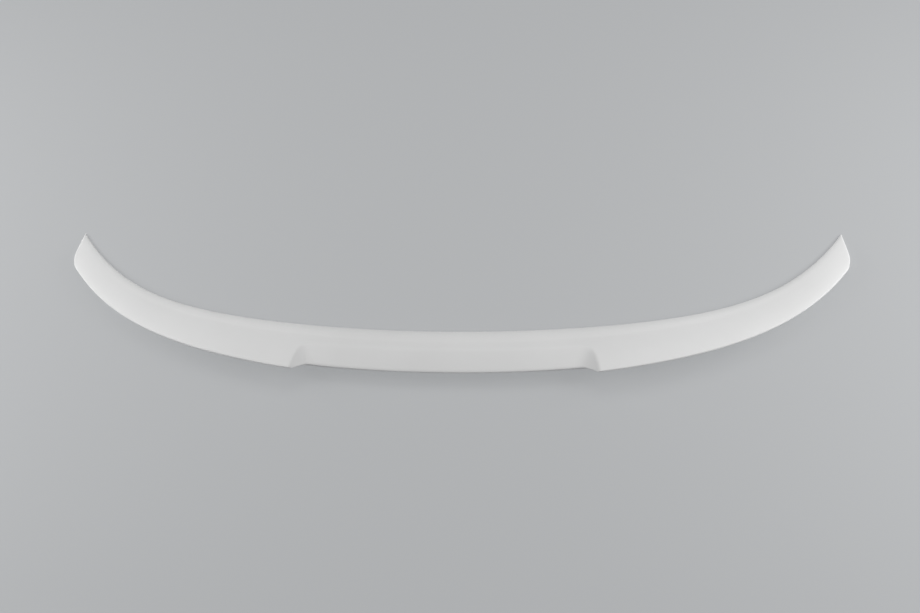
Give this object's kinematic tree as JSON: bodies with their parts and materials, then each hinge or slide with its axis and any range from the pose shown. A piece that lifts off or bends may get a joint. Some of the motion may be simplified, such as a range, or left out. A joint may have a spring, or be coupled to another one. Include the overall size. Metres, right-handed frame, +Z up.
{
  "type": "car rear lip spoiler",
  "caption": "Low boot-lid lip spoiler: a swept, tapering moulded shell with raised wings, a recessed centre and an open, bond-on underside.",
  "frame": {"origin": "middle of the part's box in plan, level with the base of the two tips", "axes": "+X to the right across the car, +Y towards the front of the car, +Z up off the boot lid"},
  "size_m": [1.219, 0.242, 0.047],
  "materials": {
    "shell": "unpainted white moulding, satin"
  },
  "bodies": {
    "root": {"lip_spoiler": "shell"}
  },
  "joints": []
}
